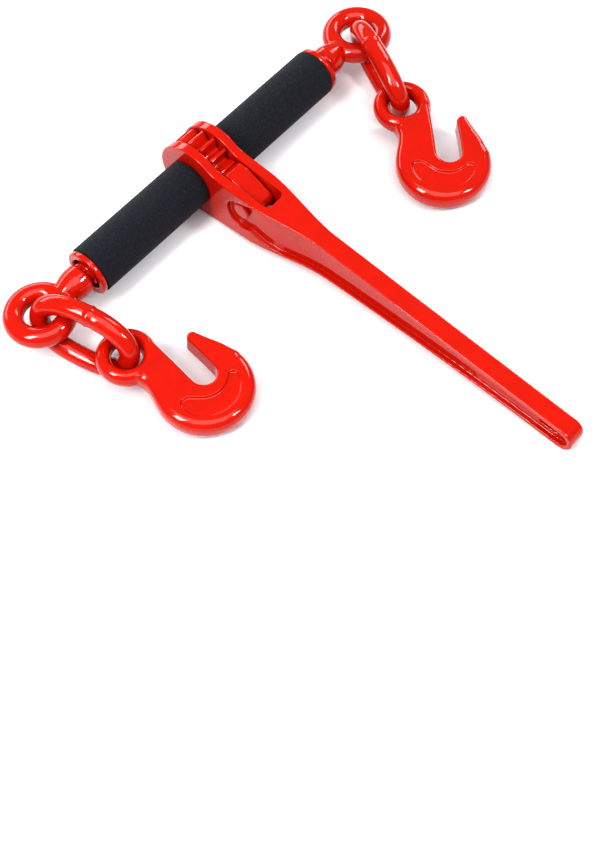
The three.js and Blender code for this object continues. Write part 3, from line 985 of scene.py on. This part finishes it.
def hook_plate(name):
    """The hook's flat plate, with the edge radius that its outline gives at each point."""
    outline = hook_outline()
    count = len(outline)
    inward = []
    for i in range(count):
        before = Vector(outline[i - 1][:2])
        after = Vector(outline[(i + 1) % count][:2])
        along = (after - before).normalized()
        inward.append(Vector((along.y, -along.x)))
    steps = 8
    quarter = [90 * k / steps for k in range(steps + 1)]
    layers = [(-1, angle) for angle in reversed(quarter)] + [(1, angle) for angle in quarter]
    vertices = []
    for side, angle in layers:
        a = math.radians(angle)
        for (u, v, edge), n in zip(outline, inward):
            inset = edge * (1 - math.cos(a))
            height = HOOK_HALF - edge + edge * math.sin(a)
            vertices.append((u + n.x * inset, v + n.y * inset, side * height))
    faces = [list(range(count)), list(range((len(layers) - 1) * count, len(layers) * count))]
    faces += ring_faces(len(layers), count, closed=False)
    return make_object(name, vertices, faces)


def press_panels(hook):
    """Sinks the shallow crescent into both faces of the bend."""
    floor = HOOK_HALF - PANEL_DEPTH
    outline = spline(PANEL_OUTLINE, 102)[:-1]
    for low_end, high_end in ((floor, HOOK_CUT_REACH), (-HOOK_CUT_REACH, -floor)):
        combine(hook, "DIFFERENCE", slab("panel", outline, low_end, high_end, "plan"))


def hook_eye(ring, bend):
    """The forged ring, thicker where it runs into the plate."""
    path = [(x, y, 0) for x, y in ring]
    eye = sweep("eye", path, HOOK_EYE_STOCK, 36)
    aim = math.radians(HOOK_EYE_SLOT_AIM)
    slotward = Vector((math.cos(aim), math.sin(aim)))
    for vertex in eye.data.vertices:
        spoke = (vertex.co.xy - Vector(HOOK_EYE)).normalized()
        facing = max(0, spoke.dot(bend), spoke.dot(slotward))
        vertex.co.z *= HOOK_EYE_FLAT + HOOK_EYE_SWELL * facing ** 2
    return eye


def hook_matrix(end, bend):
    """Hangs the hook by its eye on the link's far crown, opened and drooped."""
    across = Vector((-bend.y, bend.x, 0))
    centre = crown_matrix(end) @ Vector((end["reach"], 0, end["rise"] + end["lift"]))
    return (
        Matrix.Translation(centre)
        @ Matrix.Rotation(math.radians(end["opening"] - 90), 4, "Z")
        @ Matrix.Rotation(math.radians(end["droop"]), 4, across)
        @ Matrix.Translation((-HOOK_EYE[0], -HOOK_EYE[1], 0))
    )


def add_hook(end):
    hook = hook_plate("grab_hook_" + end["name"])
    ring = circle(*HOOK_EYE, HOOK_EYE_R - HOOK_EYE_STOCK, 120)
    bend = (Vector(BEND_CENTRE) - Vector(HOOK_EYE)).normalized()
    combine(hook, "DIFFERENCE", slab("opening", ring, -HOOK_CUT_REACH, HOOK_CUT_REACH, "plan"))
    press_panels(hook)
    merge(hook, hook_eye(ring, bend))
    cast(hook, "hook")
    place(hook, PLACE @ hook_matrix(end, bend), CAST_SMOOTH_ANGLE)
    node = "hook_" + end["name"]
    stand_for(hook, node, node, FORGED_ENAMEL)


# ---- studio and camera ----
# The camera in degrees and millimetres, from the foot of the frame that PLACE gives.
CAMERA_AZIMUTH = -44.1
CAMERA_ELEVATION = 60.0
CAMERA_ROLL = -5.0
CAMERA_DISTANCE = 1236.0
CAMERA_RIGHT = 71.0
CAMERA_UP = -184.6
CAMERA_LENS = 65.7
SENSOR_WIDTH = 36
# The floor in metres.
FLOOR_HALF = 6
SKY = (0.88, 0.94, 1.0, 1)
SKY_STRENGTH = 0.3
# Soft boxes over and round the binder, in metres and watts, all aimed at its middle.
LIGHTS = [
    dict(name="overhead", at=(-0.3, -0.45, 2.1), size=(1.8, 1.8), power=23),
    dict(name="left", at=(-1.2, 0.1, 1.35), size=(0.42, 1.0), power=21),
    dict(name="front_right", at=(0.5, -1.2, 1.5), size=(0.3, 0.45), power=12),
    dict(name="right", at=(1.7, 0.2, 1.2), size=(0.5, 0.9), power=8),
    dict(name="back", at=(0.3, 2.2, 0.9), size=(2.6, 0.7), power=20),
]


def add_camera():
    a = math.radians(CAMERA_AZIMUTH)
    e = math.radians(CAMERA_ELEVATION)
    back = Vector((math.sin(a) * math.cos(e), -math.cos(a) * math.cos(e), math.sin(e)))
    right = Vector((0, 0, 1)).cross(back).normalized()
    up = back.cross(right)
    roll = Matrix.Rotation(math.radians(CAMERA_ROLL), 3, back)
    right = roll @ right
    up = roll @ up
    eye = PLACE @ (back * CAMERA_DISTANCE + right * CAMERA_RIGHT + up * CAMERA_UP)
    data = bpy.data.cameras.new("camera")
    data.lens = CAMERA_LENS
    data.sensor_width = SENSOR_WIDTH
    camera = bpy.data.objects.new("camera", data)
    camera.matrix_world = Matrix(
        (
            (right.x, up.x, back.x, eye.x),
            (right.y, up.y, back.y, eye.y),
            (right.z, up.z, back.z, eye.z),
            (0, 0, 0, 1),
        )
    )
    bpy.context.scene.collection.objects.link(camera)
    bpy.context.scene.camera = camera


def add_floor():
    half = FLOOR_HALF
    corners = [(-half, -half, 0), (half, -half, 0), (half, half, 0), (-half, half, 0)]
    floor = make_object("floor", corners, [[0, 1, 2, 3]])
    m = Nodes("white_paper")
    mottle = m.noise(scale=3, detail=2)
    tone = m.ramp(mottle, (NOISE_LOW, PAPER_DARK), (NOISE_HIGH, PAPER_LIGHT))
    m.link(tone, m.shader, "Base Color")
    m.set(Roughness=0.75, Specular_IOR_Level=0.2)
    floor.data.materials.append(m.material)


def add_light(name, at, size, power):
    data = bpy.data.lights.new(name, "AREA")
    data.shape = "RECTANGLE"
    data.size = size[0]
    data.size_y = size[1]
    data.energy = power
    light = bpy.data.objects.new(name, data)
    light.location = at
    light.rotation_euler = (-Vector(at)).to_track_quat("-Z", "Y").to_euler()
    bpy.context.scene.collection.objects.link(light)


def add_studio():
    world = bpy.data.worlds.new("studio")
    world.use_nodes = True
    sky = world.node_tree.nodes["Background"]
    sky.inputs["Color"].default_value = SKY
    sky.inputs["Strength"].default_value = SKY_STRENGTH
    bpy.context.scene.world = world
    for light in LIGHTS:
        add_light(**light)
    bpy.context.scene.view_settings.view_transform = "Standard"
    bpy.context.scene.view_settings.look = "High Contrast"


add_camera()
add_studio()
add_floor()
add_barrel()
add_handle()
add_pawl()
add_pawl_pin()
add_detent()
for end in ENDS:
    add_eye_screw(end["name"], end["side"])
    add_link(end)
    add_hook(end)
